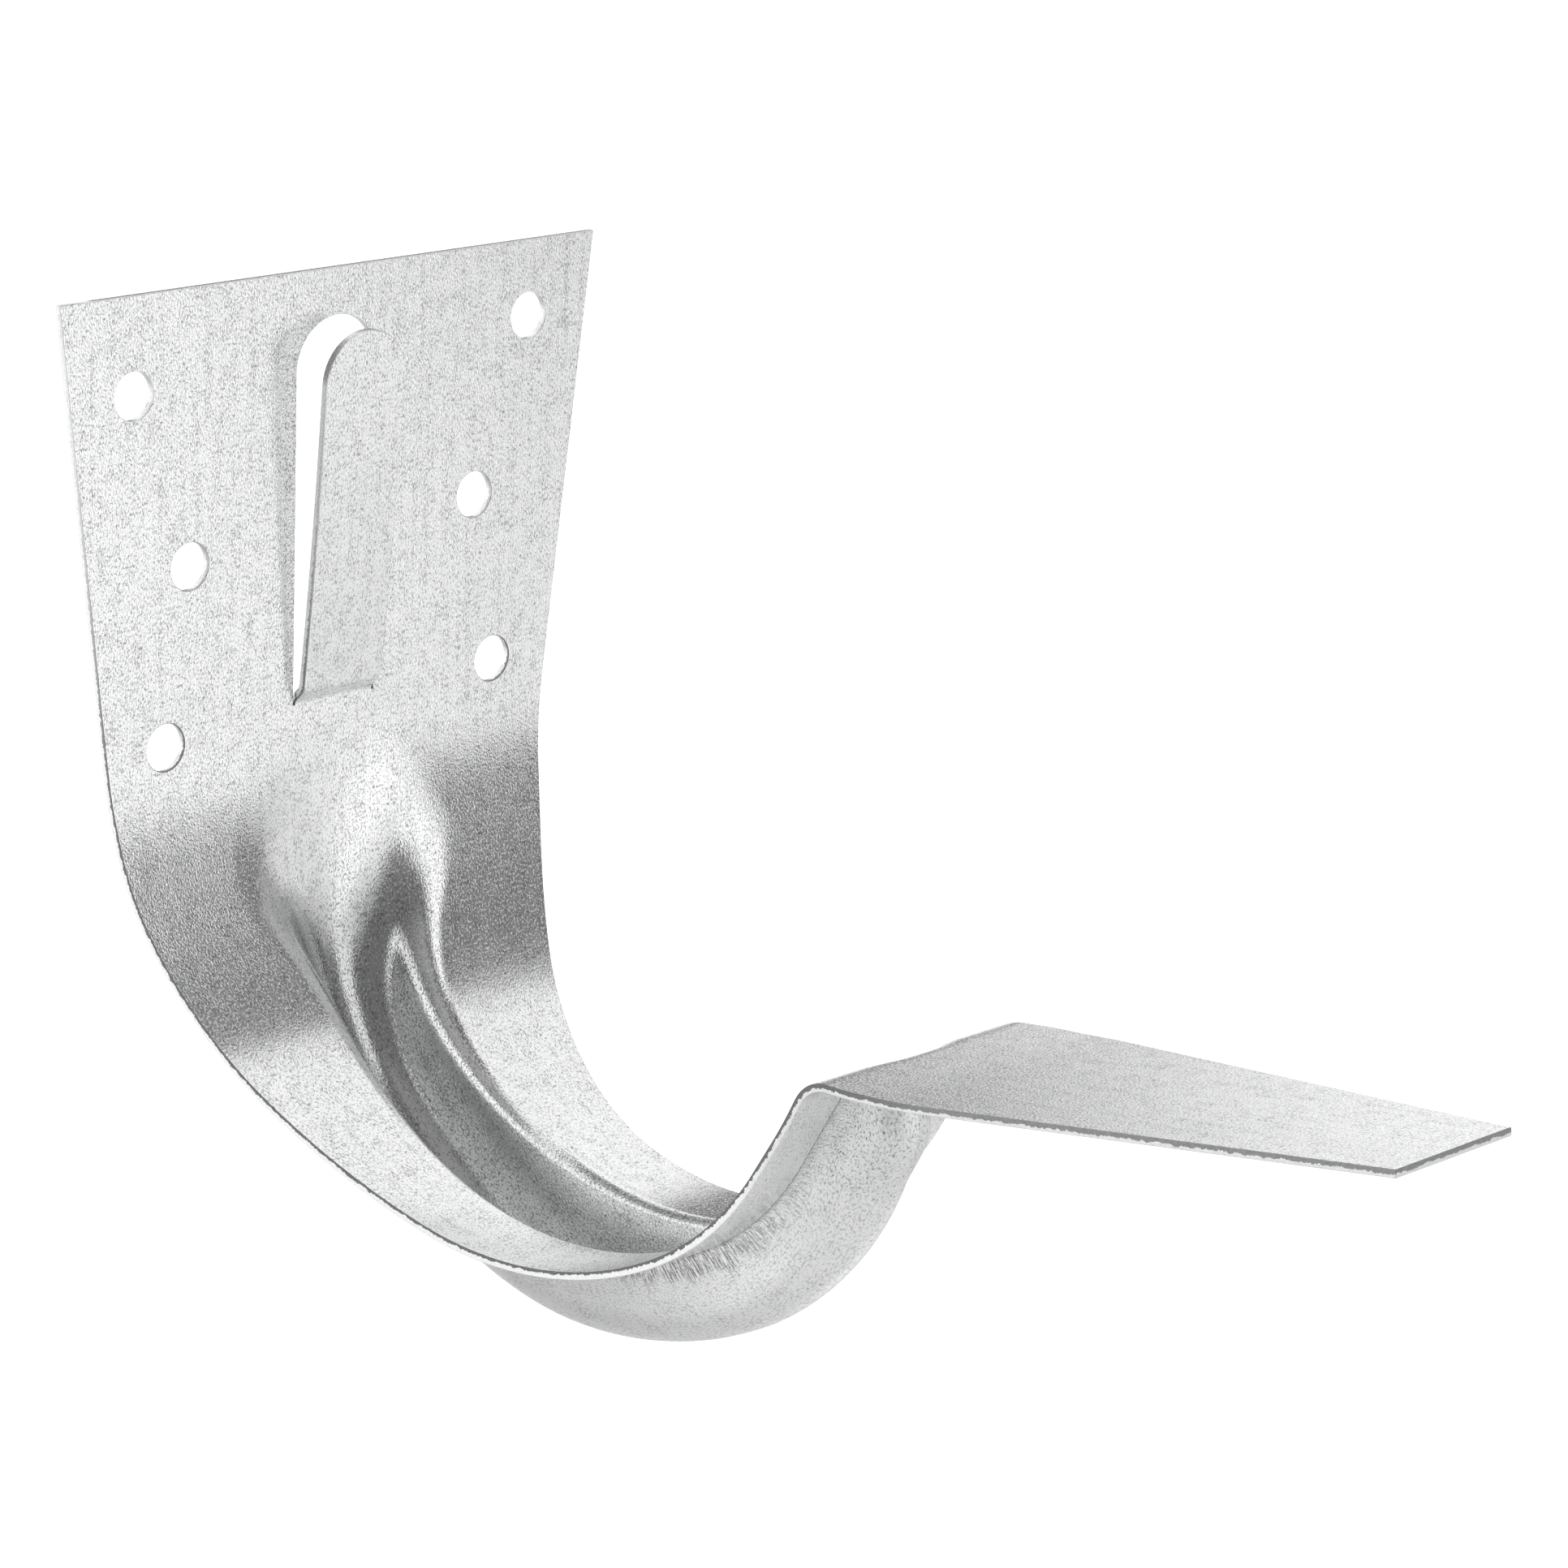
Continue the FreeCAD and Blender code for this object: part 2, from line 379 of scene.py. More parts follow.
def side_strips(skin, side, rows, inner, outer, across):
    """The hook's and the strap's cut edge on one side."""
    column = 0 if side < 0 else -1
    strips = []
    for i, (s, y, z, heading) in enumerate(rows):
        through = Vector((0, math.cos(heading), -math.sin(heading)))
        edge = Vector((side * half_width(s), y, z))
        strip = [inner[i][column]]
        for inset, depth, out, through_share in rim[1:-1]:
            at = edge + through * depth - Vector((side * inset, 0, 0))
            normal = Vector((side * out, 0, 0)) + through * through_share
            strip.append(skin.point(tuple(at), normal, across[i, column], hook_start + s, depth, 1.0))
        strip.append(outer[i][column])
        strips.append(strip)
    skin.grid(strips if side > 0 else [strip[::-1] for strip in strips])


def end_strips(skin, end, cut, inner_row, outer_row, across):
    """The cut edge at the strap's free end, with its two corners."""
    s, y, z, heading = end
    through = Vector((0, math.cos(heading), -math.sin(heading)))
    onward = Vector((0, -math.sin(heading), -math.cos(heading)))
    edge = Vector((0, y, z))
    half = half_width(s)
    v = hook_start + s
    strips = []
    for j, first in enumerate(inner_row):
        x = skin.points[first][0]
        strip = [first]
        for inset, depth, out, through_share in rim[1:-1]:
            wide = x * (half - inset) / (half - rim_radius)
            at = edge + through * depth - onward * inset + Vector((wide, 0, 0))
            normal = onward * out + through * through_share
            strip.append(skin.point(tuple(at), normal, across[j], v, depth, 1.0))
        strip.append(outer_row[j])
        strips.append(strip)
    skin.grid(strips)
    for side, column in ((-1, 0), (1, -1)):
        corner = [inner_row[column]]
        for inset, depth, out, _ in rim[1:-1]:
            at = Vector((side * (half_width(cut[0]) - inset), cut[1], cut[2])) + through * depth
            corner.append(skin.point(tuple(at), (side * out, 0, 0), across[column], v, depth, 1.0))
        corner.append(outer_row[column])
        pair = [corner, strips[column]]
        skin.grid(pair if side > 0 else pair[::-1])


def on_first_arc(x, s):
    """Point of the sheet's gutter side on the hook's first arc, bead included."""
    y, z, heading = below_start(s)
    section = bead_section(s, bead_drop(s, y, heading))
    d = np.interp(abs(x), [p[0] for p in section], [p[1] for p in section])
    return Vector((x, y + d * math.cos(heading), z - d * math.sin(heading)))


def near_plate(x, v):
    """Point on the gutter's side of the sheet and the way through the sheet there."""
    s = v - hook_start
    if s <= 0:
        return Vector((x, -sheet, origin_below_top - v)), Vector((0, 1, 0))
    along = on_first_arc(x, s + slope_reach) - on_first_arc(x, max(0.0, s - slope_reach))
    across = on_first_arc(x + slope_reach, s) - on_first_arc(x - slope_reach, s)
    return on_first_arc(x, s), across.cross(along).normalized()


def plate_point(skin, x, v, depth, out_x, out_v, through_share):
    at, through = near_plate(x, v)
    down = through.cross(Vector((1, 0, 0))).normalized()
    normal = Vector((1, 0, 0)) * out_x + down * out_v + through * through_share
    return skin.point(tuple(at + through * depth), normal, x, v, depth, on_rim(depth))


def ring_strips(skin, ring):
    """Strips across a cut edge. ring(inset) gives points (x, v, outward x, outward v)."""
    columns = []
    for inset, depth, out, through_share in rim:
        column = []
        for x, v, out_x, out_v in ring(inset):
            column.append(plate_point(skin, x, v, depth, out_x * out, out_v * out, through_share))
        columns.append(column)
    skin.grid(columns)
    return [(x, v) for x, v, _, _ in ring(rim_radius)]


def hole_ring(cx, cv):
    def ring(inset):
        r = hole_radius + inset
        turns = [math.tau * i / hole_points for i in range(hole_points + 1)]
        return [(cx + r * math.cos(a), cv + r * math.sin(a), -math.cos(a), -math.sin(a)) for a in turns]
    return ring


def slot_ring(inset):
    """From the tongue's root round the slot and back to the root's other side."""
    half, low = slot_half_width + inset, slot_bottom + inset
    root, crown = tongue_half_width - inset, slot_top + slot_half_width
    steps = range(1, slot_side_points)
    points = [(root, low, 0, -1), (half, low, 0, -1), (half, low, -1, 0)]
    points += [(half, low + (crown - low) * i / slot_side_points, -1, 0) for i in steps]
    for i in range(slot_crown_points + 1):
        a = math.pi * i / slot_crown_points
        points.append((half * math.cos(a), crown - half * math.sin(a), -math.cos(a), math.sin(a)))
    points += [(-half, crown + (low - crown) * i / slot_side_points, 1, 0) for i in steps]
    points += [(-half, low, 1, 0), (-half, low, 0, -1), (-root, low, 0, -1)]
    return points


def side_ring(inset):
    """The plate's two sides and its top, from the hook's left side round to its right."""
    top_half = plate_half_width(inset) - inset
    points = []
    for i in range(plate_side_points + 1):
        v = join + (inset - join) * i / plate_side_points
        points.append((-(plate_half_width(v) - inset), v, -1, 0))
    for i in range(plate_top_points + 1):
        points.append((-top_half + 2 * top_half * i / plate_top_points, inset, 0, -1))
    for i in range(plate_side_points + 1):
        v = inset + (join - inset) * i / plate_side_points
        points.append((plate_half_width(v) - inset, v, 1, 0))
    return points


def hole_centres():
    centres = []
    for row, half_spacing in enumerate(hole_half_spacings):
        drop = hole_drop_top_row + row * hole_row_pitch
        centres += [(-half_spacing, drop + hole_stagger / 2), (half_spacing, drop - hole_stagger / 2)]
    return centres


def curved_spots():
    """Points inside the plate's mesh where the hook has begun to curve."""
    spots = []
    for i in range(curved_rows):
        v = hook_start + join_below_start * i / curved_rows
        half = plate_half_width(v) - curved_margin
        spots += [(-half + 2 * half * j / curved_columns, v) for j in range(curved_columns + 1)]
    return spots


def in_plate(x, v):
    """Whether a place on the flat sheet is clear of the holes and the slot."""
    hole_reach = (hole_radius + rim_radius) * just_inside
    if any(math.hypot(x - cx, v - cv) < hole_reach for cx, cv in hole_centres()):
        return False
    crown = slot_top + slot_half_width
    half, low = slot_half_width + rim_radius, slot_bottom + rim_radius
    if abs(x) < tongue_half_width - rim_radius and v > slot_bottom:
        return True
    if v > low or abs(x) > half:
        return True
    return v < crown and math.hypot(x, v - crown) > half * just_inside


def tongue_rows():
    """(distance, y, z, heading) along the middle of the tongue's sheet."""
    turn, lean = math.radians(tongue_step_angle), math.radians(tongue_lean)
    straight = tongue_length - tongue_half_width
    stretches = (
        (tongue_step_radius * turn, -turn, tongue_bend_rows),
        (tongue_step_straight, 0.0, tongue_step_rows),
        (tongue_step_radius * (turn - lean), turn - lean, tongue_bend_rows),
        (straight, math.radians(tongue_curl) * straight / tongue_length, tongue_straight_rows),
    )
    y, z, heading, t = -sheet / 2, origin_below_top - slot_bottom, math.pi, 0.0
    rows = [(t, y, z, heading)]
    for length, bend, count in stretches:
        for _ in range(count):
            y, z, heading = step(y, z, heading, length / count, bend / count)
            t += length / count
            rows.append((t, y, z, heading))
    return rows


def tongue_point(skin, row, onward, x, depth, normal_shares):
    """Point of the tongue, at a row or onward from it. Shares of the normal: x, onward, through."""
    t, y, z, heading = row
    if onward:
        curl = math.radians(tongue_curl) / tongue_length
        y, z, heading = step(y, z, heading, onward, curl * onward if onward > 0 else 0.0)
    front = Vector((0, math.cos(heading), -math.sin(heading)))
    ahead = Vector((0, -math.sin(heading), -math.cos(heading)))
    at = Vector((x, y, z)) + front * (sheet / 2 - depth)
    out_x, out_t, through_share = normal_shares
    normal = Vector((out_x, 0, 0)) + ahead * out_t - front * through_share
    return skin.point(tuple(at), normal, x, slot_bottom - t - onward, depth, on_rim(depth))


def tongue_outline(rows, inset):
    """(row, onward, x, outward x, outward onward) from the root up, round the tip and down."""
    half = tongue_half_width - inset
    right = [(row, 0.0, half, 1, 0) for row in rows]
    left = [(row, 0.0, -half, -1, 0) for row in reversed(rows)]
    tip = []
    for i in range(1, tongue_tip_points):
        a = math.pi * i / tongue_tip_points
        tip.append((rows[-1], half * math.sin(a), half * math.cos(a), math.cos(a), math.sin(a)))
    if inset:
        return [(rows[0], -inset, half, 1, 0)] + right + tip + left + [(rows[0], -inset, -half, -1, 0)]
    return right[:1] + right + tip + left + left[-1:]


def tongue_skin(skin):
    """The tongue. Its first row lies in the plate, where the bend begins."""
    rows = tongue_rows()
    columns = []
    for inset, depth, out, through_share in rim:
        column = []
        for row, onward, x, out_x, out_t in tongue_outline(rows, inset):
            shares = (out_x * out, out_t * out, through_share)
            column.append(tongue_point(skin, row, onward, x, depth, shares))
        columns.append(column)
    skin.grid([column[::-1] for column in columns])
    half = tongue_half_width - rim_radius
    spread = [math.cos(math.pi * i / tongue_columns) for i in range(tongue_columns + 1)]
    for depth, through_share in ((0.0, -1.0), (sheet, 1.0)):
        shares = (0, 0, through_share)
        lines = []
        for row in rows:
            lines.append([tongue_point(skin, row, 0.0, half * c, depth, shares) for c in spread])
        for i in range(1, tongue_tip_rows + 1):
            a = math.pi / 2 * i / tongue_tip_rows
            up, wide = half * math.sin(a), half * math.cos(a)
            lines.append([tongue_point(skin, rows[-1], up, wide * c, depth, shares) for c in spread])
        skin.grid(lines if depth == 0.0 else [line[::-1] for line in lines])
    return [(half * c, slot_bottom) for c in spread]


def plate_loops(skin, join_x, root_row):
    """Border loops of the flat faces. The cut edges along them are made on the way."""
    outer = ring_strips(skin, side_ring)
    bottom = [(x, join) for x in sorted(join_x, reverse=True)]
    loops = [outer + bottom[1:-1]]
    loops += [ring_strips(skin, hole_ring(*centre))[:-1] for centre in hole_centres()]
    loops.append(ring_strips(skin, slot_ring) + root_row[::-1])
    return loops


def plate_triangles(loops):
    """Corners of the triangles that fill the flat faces."""
    points, edges = [], []
    for loop in loops:
        clean = [p for i, p in enumerate(loop) if math.dist(p, loop[i - 1]) > same_spot]
        first = len(points)
        points += clean
        edges += [(first + i, first + (i + 1) % len(clean)) for i in range(len(clean))]
    points += [spot for spot in curved_spots() if in_plate(*spot)]
    found, _, faces, _, _, _ = delaunay_2d_cdt([Vector(p) for p in points], edges, [], 0, same_spot)
    triangles = []
    for face in faces:
        corners = [found[i] for i in face]
        middle = (sum(c.x for c in corners) / 3, sum(c.y for c in corners) / 3)
        spanned = abs((corners[1] - corners[0]).cross(corners[2] - corners[0]))
        if spanned >= sliver_area and in_plate(*middle):
            triangles.append(corners)
    return triangles


def plate_skin(skin, joins, root_row):
    """The plate's two faces, triangulated between the cut edges and the hook's first rows."""
    join_x = [skin.points[inner][0] for inner, _ in joins]
    for corners in plate_triangles(plate_loops(skin, join_x, root_row)):
        for layer, (depth, through_share) in enumerate(((0.0, -1), (sheet, 1))):
            ids = []
            for x, v in corners:
                if abs(v - join) < same_height:
                    nearest = min(range(len(join_x)), key=lambda i: abs(join_x[i] - x))
                    ids.append(joins[nearest][layer])
                else:
                    ids.append(plate_point(skin, x, v, depth, 0, 0, through_share))
            skin.face(*ids)


def store(mesh, name, vectors):
    layer = mesh.attributes.new(name, "FLOAT_VECTOR", "POINT")
    layer.data.foreach_set("vector", np.array(vectors, np.float32).ravel())


def build_mesh():
    skin = Skin()
    joins = list(zip(*hook_skin(skin)))
    root_row = tongue_skin(skin)
    plate_skin(skin, joins, root_row)
    mesh = bpy.data.meshes.new("bracket_skin")
    mesh.from_pydata([tuple(c * metres for c in p) for p in skin.points], [], skin.faces)
    store(mesh, "outward", [tuple(n) for n in skin.normals])
    store(mesh, "sheet", skin.sheet)
    store(mesh, "bead", skin.bead)
    work = bmesh.new()
    work.from_mesh(mesh)
    bmesh.ops.remove_doubles(work, verts=work.verts, dist=weld_distance * metres)
    work.to_mesh(mesh)
    work.free()
    return mesh


def orient(mesh):
    """Turns every face the way its points' normals look, then keeps those normals."""
    outward = mesh.attributes["outward"]
    normals = [Vector(item.vector) for item in outward.data]
    wrong = []
    for polygon in mesh.polygons:
        mean = sum((normals[i] for i in polygon.vertices), Vector())
        if polygon.normal.dot(mean) < 0:
            wrong.append(polygon)
    for polygon in wrong:
        polygon.flip()
    mesh.update()
    mesh.polygons.foreach_set("use_smooth", [True] * len(mesh.polygons))
    mesh.attributes.remove(outward)
    mesh.normals_split_custom_set_from_vertices([tuple(n) for n in normals])


mesh = build_mesh()
orient(mesh)
bracket = bpy.data.objects.new("bracket_dressed", mesh)
bpy.context.scene.collection.objects.link(bracket)
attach(bracket, "root")
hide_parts("gutter_bracket")


# Node helpers
def feed(tree, socket, value):
    """Links the socket to another node's output, or sets it to a constant."""
    if isinstance(value, bpy.types.NodeSocket):
        tree.links.new(value, socket)
    else:
        socket.default_value = value


def math_node(tree, operation, first, second=0.0, third=0.0):
    node = tree.nodes.new("ShaderNodeMath")
    node.operation = operation
    for socket, value in zip(node.inputs, (first, second, third)):
        feed(tree, socket, value)
    return node.outputs[0]


def vector_node(tree, operation, first, second=None):
    node = tree.nodes.new("ShaderNodeVectorMath")
    node.operation = operation
    tree.links.new(first, node.inputs[0])
    if second is not None:
        node.inputs[1].default_value = second
    return node


def ramp(tree, value, low, high, to_low=0.0, to_high=1.0):
    """Smooth step from to_low to to_high as the value goes from low to high."""
    node = tree.nodes.new("ShaderNodeMapRange")
    node.interpolation_type = "SMOOTHSTEP"
    names = ("Value", "From Min", "From Max", "To Min", "To Max")
    for name, item in zip(names, (value, low, high, to_low, to_high)):
        feed(tree, node.inputs[name], item)
    return node.outputs["Result"]


def fall(tree, value, low, high):
    """Smooth step down from one to zero."""
    return ramp(tree, value, low, high, 1.0, 0.0)


def band(tree, value, middle, half, soft):
    """One inside middle ± half, and zero outside, with a soft border."""
    away = math_node(tree, "ABSOLUTE", math_node(tree, "SUBTRACT", value, middle))
    return fall(tree, away, half - soft, half + soft)


def product(tree, *values):
    total = values[0]
    for value in values[1:]:
        total = math_node(tree, "MULTIPLY", total, value)
    return total


def scaled(tree, value, share, base):
    """base + share × value."""
    return math_node(tree, "MULTIPLY_ADD", value, share, base)


def centred(tree, pattern):
    """A noise pattern around zero."""
    return math_node(tree, "SUBTRACT", pattern, 0.5)


def shade(tree, mask, amount):
    """Factor that falls from one by the amount where the mask is one."""
    return scaled(tree, mask, -amount, 1.0)


def mix(tree, mask, first, second):
    node = tree.nodes.new("ShaderNodeMix")
    node.data_type = "FLOAT"
    feed(tree, node.inputs[0], mask)
    feed(tree, node.inputs[2], first)
    feed(tree, node.inputs[3], second)
    return node.outputs[0]


def noise(tree, place, scales, detail=2.0, roughness=0.5):
    node = tree.nodes.new("ShaderNodeTexNoise")
    tree.links.new(vector_node(tree, "MULTIPLY", place, scales).outputs[0], node.inputs["Vector"])
    node.inputs["Scale"].default_value = 1.0
    node.inputs["Detail"].default_value = detail
    node.inputs["Roughness"].default_value = roughness
    return node.outputs[0]


def attribute(tree, name):
    """The attribute as a vector and as its three parts."""
    node = tree.nodes.new("ShaderNodeAttribute")
    node.attribute_name = name
    parts = tree.nodes.new("ShaderNodeSeparateXYZ")
    tree.links.new(node.outputs["Vector"], parts.inputs[0])
    return node.outputs["Vector"], *parts.outputs


# Zinc patterns: noise with its scale across the sheet, along it and through it, detail, roughness
patterns = {
    "streaks": ((1.4, 0.05, 7.0), 2.0, 0.5),
    "grain": ((4.8, 1.9, 7.0), 3.0, 0.7),
    "fine": ((9.0, 6.0, 43.0), 2.0, 0.5),
    "clumps": ((0.55, 0.4, 17.0), 2.0, 0.5),
    "frost": ((3.6, 2.8, 31.0), 2.0, 0.6),
    "clouds": ((0.09, 0.07, 7.0), 3.0, 0.5),
    "rare": ((1.9, 1.7, 7.0), 1.0, 0.5),
    "tear": ((1.0, 1.2, 0.4), 5.0, 0.75),
    "wander": ((0.0, 1.6, 7.0), 4.0, 0.7),
    "marks": ((0.4, 3.8, 7.0), 3.0, 0.7),
    "reach": ((0.0, 0.35, 7.0), 2.0, 0.5),
    "pits": ((3.8, 3.0, 7.0), 1.0, 0.5),
}

# Borders between the sheet's two faces, by depth, and between face and cut edge, by the edge flag
face_border = (0.4, 0.6)
rim_border = (0.35, 0.65)

# Flecks, specks, frost and clouds, as (from, to) of their pattern
streak_share = 0.17
clump_share = 0.24
fleck_range = (0.36, 0.50)
fleck_shade = 0.5
fleck_loss_outside = 0.35
speck_range = (0.175, 0.19)
speck_shade = 0.7
frost_range = (0.535, 0.61)
cloud_share = 0.10
cloud_base = 0.93
fine_share = 0.5
fine_base = 0.75
tints = (0.996, 1.0, 1.004)

# Torn part of the cut edge. Places along the sheet are millimetres from the plate's top.
torn_starts = (10.0, 70.0)
torn_on_plate = 0.12
torn_widens = (175.0, 205.0)
torn_shares = (0.32, 0.52)
torn_border = 0.03
raggedness = 1.2
torn_tone_share = 0.25
torn_tone_base = 0.17
torn_pales = (205.0, 225.0)
torn_paling = 1.55
torn_roughness = 0.6
torn_relief = 5.0
rim_tone = 1.0

# Marks on the bead's outside: a dark line along its fold, which is painted shade in the crease, and rubbed
# lines across it from the pressing
fold_wander = 0.9
crease_shade_half = 0.10
crease_shade_soft = 0.06
crease_shade_starts = (100.0, 125.0)
crease_shade_amount = 0.65
mark_range = (0.44, 0.52)
mark_shade = 0.68
mark_relief = -0.5
rubbed_reach = 7.0
rubbed_reach_least = 1.5
rubbed_end = (0.7, 1.1)
rubbed_start = (0.0, 0.4)
rubbed_from = (70.0, 88.0)
rubbed_until = (160.0, 185.0)
rubbed_rest = 0.35

# Painted shade in the bead's hollow, by the distance from its fold and by its depth
hollow_fold = (2.2, 5.5)
hollow_drop = (2.5, 6.5)
hollow_shade = 0.3

# Gloss and relief
clean_roughness = 0.11
frost_roughness = 0.5
worn_from = (172.0, 194.0)
worn_roughness = 0.3
relief = 0.00003


class Zinc:
    """Zinc coated sheet: flecks along the rolling direction, cut edges, marks of the pressing, and painted
    shade along the bead's fold and in its hollow.
    """

    def __init__(self, tree):
        self.tree = tree
        self.place, _, self.along, self.depth = attribute(tree, "sheet")
        _, self.fold, self.drop, rim_flag = attribute(tree, "bead")
        self.outside = ramp(tree, self.depth, *face_border)
        self.inside = fall(tree, self.depth, *face_border)
        self.on_rim = ramp(tree, rim_flag, *rim_border)
        self.on_face = fall(tree, rim_flag, *rim_border)
        self.grain = self.pattern("grain")
        self.tear = self.pattern("tear")
        self.torn = self.torn_mask()
        self.drawn = self.drawn_mask()

    def pattern(self, name):
        return noise(self.tree, self.place, *patterns[name])

    def torn_mask(self):
        """The dark part of the cut edge, from the gutter's side down to a ragged border."""
        tree = self.tree
        share = ramp(tree, self.along, *torn_widens, *torn_shares)
        ragged = scaled(tree, centred(tree, self.tear), raggedness, share)
        torn = fall(tree, math_node(tree, "SUBTRACT", self.depth, ragged), -torn_border, torn_border)
        return product(tree, torn, self.on_rim, ramp(tree, self.along, *torn_starts, torn_on_plate, 1.0))

    def drawn_mask(self):
        """Lines across the bead's fold, where the tool rubbed the sheet."""
        tree = self.tree
        marks = fall(tree, self.pattern("marks"), *mark_range)
        reach = scaled(tree, self.pattern("reach"), rubbed_reach, rubbed_reach_least)
        rubbed = fall(tree, math_node(tree, "DIVIDE", self.fold, reach), *rubbed_end)
        start = ramp(tree, self.fold, *rubbed_start)
        rubbed = product(tree, rubbed, start, self.outside, ramp(tree, self.along, *rubbed_from))
        rubbed = product(tree, rubbed, ramp(tree, self.along, *rubbed_until, 1.0, rubbed_rest))
        return product(tree, marks, rubbed)

    # Painted shade: a dark, wandering line along the fold's crease on the bead's outside.
    def painted_crease_shade(self):
        tree = self.tree
        off_fold = scaled(tree, centred(tree, self.pattern("wander")), fold_wander, self.fold)
        line = band(tree, off_fold, 0.0, crease_shade_half, crease_shade_soft)
        return product(tree, line, self.outside, self.on_face, ramp(tree, self.along, *crease_shade_starts))

    def flecks(self):
        tree = self.tree
        crowded = scaled(tree, centred(tree, self.pattern("streaks")), streak_share, self.grain)
        crowded = scaled(tree, centred(tree, self.pattern("clumps")), clump_share, crowded)
        flecks = fall(tree, crowded, *fleck_range)
        return product(tree, flecks, shade(tree, self.outside, fleck_loss_outside))

    # Painted shade: darker in the bead's hollow, where shade falls.
    def painted_hollow_shade(self):
        tree = self.tree
        near_floor = ramp(tree, self.fold, *hollow_fold)
        return product(tree, near_floor, self.inside, ramp(tree, self.drop, *hollow_drop))

    def tone(self):
        tree = self.tree
        specks = fall(tree, self.pattern("rare"), *speck_range)
        tone = product(tree, shade(tree, self.flecks(), fleck_shade), shade(tree, specks, speck_shade))
        # Painted shade along the fold's crease.
        painted_crease_shade = shade(tree, self.painted_crease_shade(), crease_shade_amount)
        tone = product(tree, tone, painted_crease_shade, shade(tree, self.drawn, mark_shade))
        tone = product(tree, tone, scaled(tree, self.pattern("clouds"), cloud_share, cloud_base))
        # Painted shade in the bead's hollow.
        tone = product(tree, tone, shade(tree, self.painted_hollow_shade(), hollow_shade))
        tone = product(tree, tone, scaled(tree, self.pattern("fine"), fine_share, fine_base))
        tone = mix(tree, self.on_rim, tone, rim_tone)
        torn_tone = scaled(tree, self.grain, torn_tone_share, torn_tone_base)
        torn_tone = product(tree, torn_tone, ramp(tree, self.along, *torn_pales, 1.0, torn_paling))
        return mix(tree, self.torn, tone, torn_tone)

    def roughness(self):
        tree = self.tree
        frost = ramp(tree, self.pattern("frost"), *frost_range)
        dull = scaled(tree, frost, frost_roughness, clean_roughness)
        worn = product(tree, self.outside, ramp(tree, self.along, *worn_from))
        return mix(tree, self.torn, scaled(tree, worn, worn_roughness, dull), torn_roughness)

    def height(self):
        tree = self.tree
        height = scaled(tree, self.tear, mix(tree, self.torn, 0.0, torn_relief), self.pattern("pits"))
        return scaled(tree, self.drawn, mark_relief, height)


def make_zinc():
    material = bpy.data.materials.new("galvanised_sheet")
    material.use_nodes = True
    tree = material.node_tree
    shader = tree.nodes["Principled BSDF"]
    zinc = Zinc(tree)
    tone = zinc.tone()
    colour = tree.nodes.new("ShaderNodeCombineColor")
    for socket, tint in zip(colour.inputs, tints):
        tree.links.new(math_node(tree, "MULTIPLY", tone, tint), socket)
    tree.links.new(colour.outputs[0], shader.inputs["Base Color"])
    shader.inputs["Metallic"].default_value = 1.0
    tree.links.new(zinc.roughness(), shader.inputs["Roughness"])
    bump = tree.nodes.new("ShaderNodeBump")
    bump.inputs["Strength"].default_value = 1.0
    bump.inputs["Distance"].default_value = relief
    tree.links.new(zinc.height(), bump.inputs["Height"])
    tree.links.new(bump.outputs["Normal"], shader.inputs["Normal"])
    return material


mesh.materials.append(make_zinc())

# Camera: place in metres, turns about X, Y and Z in degrees
camera_place = (-0.43530607, -0.48575917, 0.12424583)
camera_turns = (74.065636, -2.076081, -46.349104)
camera_data = bpy.data.cameras.new("camera")
camera_data.sensor_width = 36.0
camera_data.lens = 122.87
camera = bpy.data.objects.new("camera", camera_data)
camera.location = camera_place
camera.rotation_euler = [math.radians(turn) for turn in camera_turns]
bpy.context.scene.collection.objects.link(camera)
bpy.context.scene.camera = camera

# A photographer's studio: soft panels (azimuth from, to, elevation from, to, soft border, brightness)
room = 0.2
panels = (
    (57.0, 106.0, -8.0, 40.0, 5.0, 0.42),
    (42.0, 186.0, 38.5, 96.0, 5.0, 0.97),
    (103.0, 132.5, 2.0, 44.0, 4.5, 1.05),
    (112.0, 178.0, 21.0, 44.0, 4.5, 1.0),
    (8.0, 36.0, -25.0, 50.0, 4.0, 1.1),
    (-150.0, -72.0, -25.0, 38.0, 6.0, 1.15),
    (-95.0, -15.0, 46.0, 78.0, 8.0, 0.36),
    (-186.0, -104.0, 24.0, 96.0, 8.0, 0.9),
    (-190.0, 190.0, 79.0, 100.0, 5.0, 0.85),
)

# The floor as the metal sees it, a painted glow: a plain brightness and soft spots of painted light, and of
# painted shadow where the amount is below zero (azimuth, elevation, sharpness, amount)
ground = 0.8
floor_light_and_shadow_spots = (
    (-121, -53, 28, 0.17),
    (107, -47, 40, 0.2),
    (180, -44, 3, -0.26),
    (32, -13, 60, 0.48),
    (50, -1, 120, -0.46),
    (-133, -12, 14, 0.4),
    (-35, 2, 30, -0.5),
    (-50, -32, 12, 0.04),
    (-155, -48, 40, -0.12),
    (142, -12, 20, 0.4),
)
ground_centre = (0.0, -0.085, -0.06)
floor_half = 9.0
floor_height = -0.42
floor_paint = (0.8, 0.8, 0.8, 1)
floor_roughness = 0.9
floor_lift = 0.8
white = (1, 1, 1, 1)


